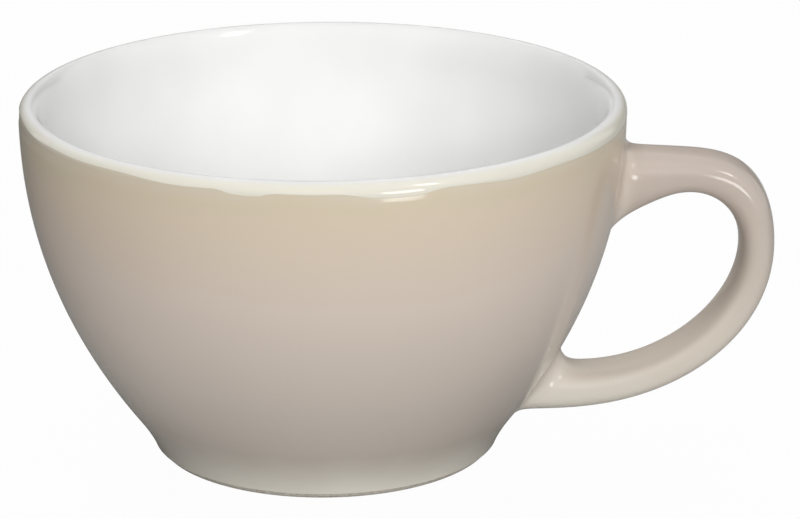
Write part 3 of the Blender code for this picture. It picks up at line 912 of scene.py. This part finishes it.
def make_world():
    world = bpy.data.worlds.new("studio")
    bpy.context.scene.world = world
    world.use_nodes = True
    tree = world.node_tree
    tree.nodes.clear()
    light = add(tree, "ShaderNodeBackground", {"Color": linear("ffffff"), "Strength": WORLD_LIGHT})
    white = add(tree, "ShaderNodeBackground", {"Color": linear("ffffff"), "Strength": 1.0})
    mixed = add(tree, "ShaderNodeMixShader", {0: seen_directly(tree), 1: light.outputs["Background"],
                                              2: white.outputs["Background"]})
    add(tree, "ShaderNodeOutputWorld", {"Surface": mixed.outputs["Shader"]})


make_world()
print("background is white to the camera, and lights the cup at", WORLD_LIGHT)

# %% [markdown]
# ## Paper for the mirror image
# The floor is white to the camera, and that takes the cup's own shadow out of what its glaze mirrors.
# On a real table the sides of a glossy cup mirror the lit paper in front of it and the shaded paper
# behind it, and this is what draws its dark outline. So a sheet that only mirror rays see lies on the
# floor, with a grey sheet standing behind: both are lit and shaded like any paper, and neither shows
# in the picture nor takes light away. Their grey tones are painted shade in the mirror image, and their
# left half is painted darker still, so that the cup's outline is darker there.

# %% Paper for the mirror image
PAPER_SIZE = 1.4
PAPER_LIFT = 0.2 * MM
PAPER_FADE = 0.15            # from the left tone to the right one
# grey tones, darker on the left: painted shade in the mirror image
TABLE_PAPER_PAINTED_SHADE = ("6a6a68", "acacaa")
REAR_PAPER_PAINTED_SHADE = ("5a5a5a", "6a6a6a")


def mirrored_only(piece):
    """Hides a stage piece from all but the mirror rays."""
    piece.visible_camera = False
    piece.visible_diffuse = False
    piece.visible_shadow = False


def mirror_paper(name, corners, left, right):
    """A sheet of paper with a painted shade tone for its left side and a lighter one for its right."""
    sheet, tree = stage_plane(name, corners)
    coords = add(tree, "ShaderNodeTexCoord").outputs["Object"]
    across = add(tree, "ShaderNodeSeparateXYZ", {"Vector": coords}).outputs["X"]
    place = add(tree, "ShaderNodeMapRange", {"Value": across, "From Min": -PAPER_FADE,
                                             "From Max": PAPER_FADE})
    tone = add(tree, "ShaderNodeValToRGB", {"Fac": place.outputs["Result"]},
               stops=[(0.0, left), (1.0, right)])
    paper = add(tree, "ShaderNodeBsdfDiffuse", {"Color": tone.outputs["Color"]})
    add(tree, "ShaderNodeOutputMaterial", {"Surface": paper.outputs["BSDF"]})
    mirrored_only(sheet)


def lay_papers():
    far = PAPER_SIZE / 2
    mirror_paper("table_paper", [(-far, -far, PAPER_LIFT), (far, -far, PAPER_LIFT), (far, far, PAPER_LIFT),
                                 (-far, far, PAPER_LIFT)], *TABLE_PAPER_PAINTED_SHADE)
    mirror_paper("rear_paper", [(-far, far, 0), (far, far, 0), (far, far, far), (-far, far, far)],
                 *REAR_PAPER_PAINTED_SHADE)


lay_papers()
print("mirror paper:", PAPER_SIZE, "m wide")

# %% [markdown]
# ## A strip for the streaks
# The photograph has thin bright streaks on the handle's bend, at its roots and on the front of the lip:
# the mirror image of a long low light. A lamp there would also light the wall, and its light thrown back
# by the handle would be noisy. So it is a bright strip that only mirror rays see. It stands on the floor
# at the right, too low for the inside of the cup to mirror it over the front wall.

# %% Strip for the streaks
STREAK_LIGHT = 8.0           # against 1 for plain white
STRIP_TOP = CUP_HEIGHT + 11 * MM
STRIP_LEFT, STRIP_RIGHT = (0.115, -0.354), (0.210, -0.330)


def mirror_strip(name, left, right):
    """A bright strip that shows in the glaze only, and not in what the glaze lights."""
    corners = [(*left, PAPER_LIFT), (*right, PAPER_LIFT), (*right, STRIP_TOP), (*left, STRIP_TOP)]
    strip, tree = stage_plane(name, corners)
    depth = add(tree, "ShaderNodeLightPath").outputs["Diffuse Depth"]
    level = add(tree, "ShaderNodeMapRange", {"Value": depth, "To Min": STREAK_LIGHT, "To Max": 0.0})
    glow = add(tree, "ShaderNodeEmission", {"Strength": level.outputs["Result"]})
    add(tree, "ShaderNodeOutputMaterial", {"Surface": glow.outputs["Emission"]})
    strip.active_material.cycles.emission_sampling = "NONE"
    mirrored_only(strip)


mirror_strip("low_strip", STRIP_LEFT, STRIP_RIGHT)
print(f"strip: {1000 * STRIP_TOP:.0f} mm high")

# %% [markdown]
# ## Soft boxes
# A soft box is a lamp behind cloth. It is an area lamp here, and it can fade from its middle to its edge,
# as cloth does. A photographer of glossy ware turns a polarising filter until the mirror images of the
# big boxes vanish and only their light stays; here a box can be hidden from mirror rays for the same end.

# %% Soft box
AIM = (AXIS_X, 0.0, CUP_HEIGHT / 2)
BOX_MIDDLE = 2.4             # brightness in the middle, against 1 for an even box


def softbox(name, place, size, power, mirrored=False, fade=False):
    """An area lamp that points at the cup, in metres and watts."""
    lamp = bpy.data.lights.new(name, "AREA")
    lamp.shape = "RECTANGLE"
    lamp.size, lamp.size_y = size
    lamp.energy = power
    if fade:
        lamp.use_nodes = True
        tree = lamp.node_tree
        across = add(tree, "ShaderNodeNewGeometry").outputs["Parametric"]
        off = add(tree, "ShaderNodeVectorMath", {0: across, 1: (0.5, 0.5, 0.0)}, operation="DISTANCE")
        level = add(tree, "ShaderNodeMapRange", {"Value": off.outputs["Value"], "From Max": 0.5,
                                                 "To Min": BOX_MIDDLE, "To Max": 0.0},
                    interpolation_type="SMOOTHSTEP")
        tree.links.new(level.outputs["Result"], tree.nodes["Emission"].inputs["Strength"])
    made = bpy.data.objects.new(name, lamp)
    made.location = place
    made.rotation_mode = "QUATERNION"
    made.rotation_quaternion = (Vector(AIM) - Vector(place)).to_track_quat("-Z", "Y")
    made.visible_glossy = mirrored
    bpy.context.scene.collection.objects.link(made)
    return made


print("all boxes aim at", [round(c, 3) for c in AIM])

# %% [markdown]
# ## Light the cup
# One large soft box over the camera gives the long gentle shading of a product photograph. It is low, so
# what faces the front is lightest. A box overhead fills the inside, which the front wall shades, and one
# behind the cup lights the far side for the views from there. A small lamp at the right is mirrored, and
# gives the handle a few sparkles.

# %% Lights
softbox("over_camera", place=(0.32, -3.66, 1.28), size=(2.2, 1.9), power=182.0, fade=True)
softbox("behind_the_cup", place=(-0.40, 3.40, 1.70), size=(2.0, 1.5), power=125.0)
softbox("overhead", place=(-0.25, 0.20, 1.80), size=(1.0, 1.0), power=13.0)
softbox("right_lamp", place=(0.60, -0.70, 0.75), size=(0.16, 0.30), power=1.3, mirrored=True)

# %% [markdown]
# ## Colour management
# The Standard view shows a colour about as it was written.

# %% Finish
bpy.context.scene.view_settings.view_transform = "Standard"
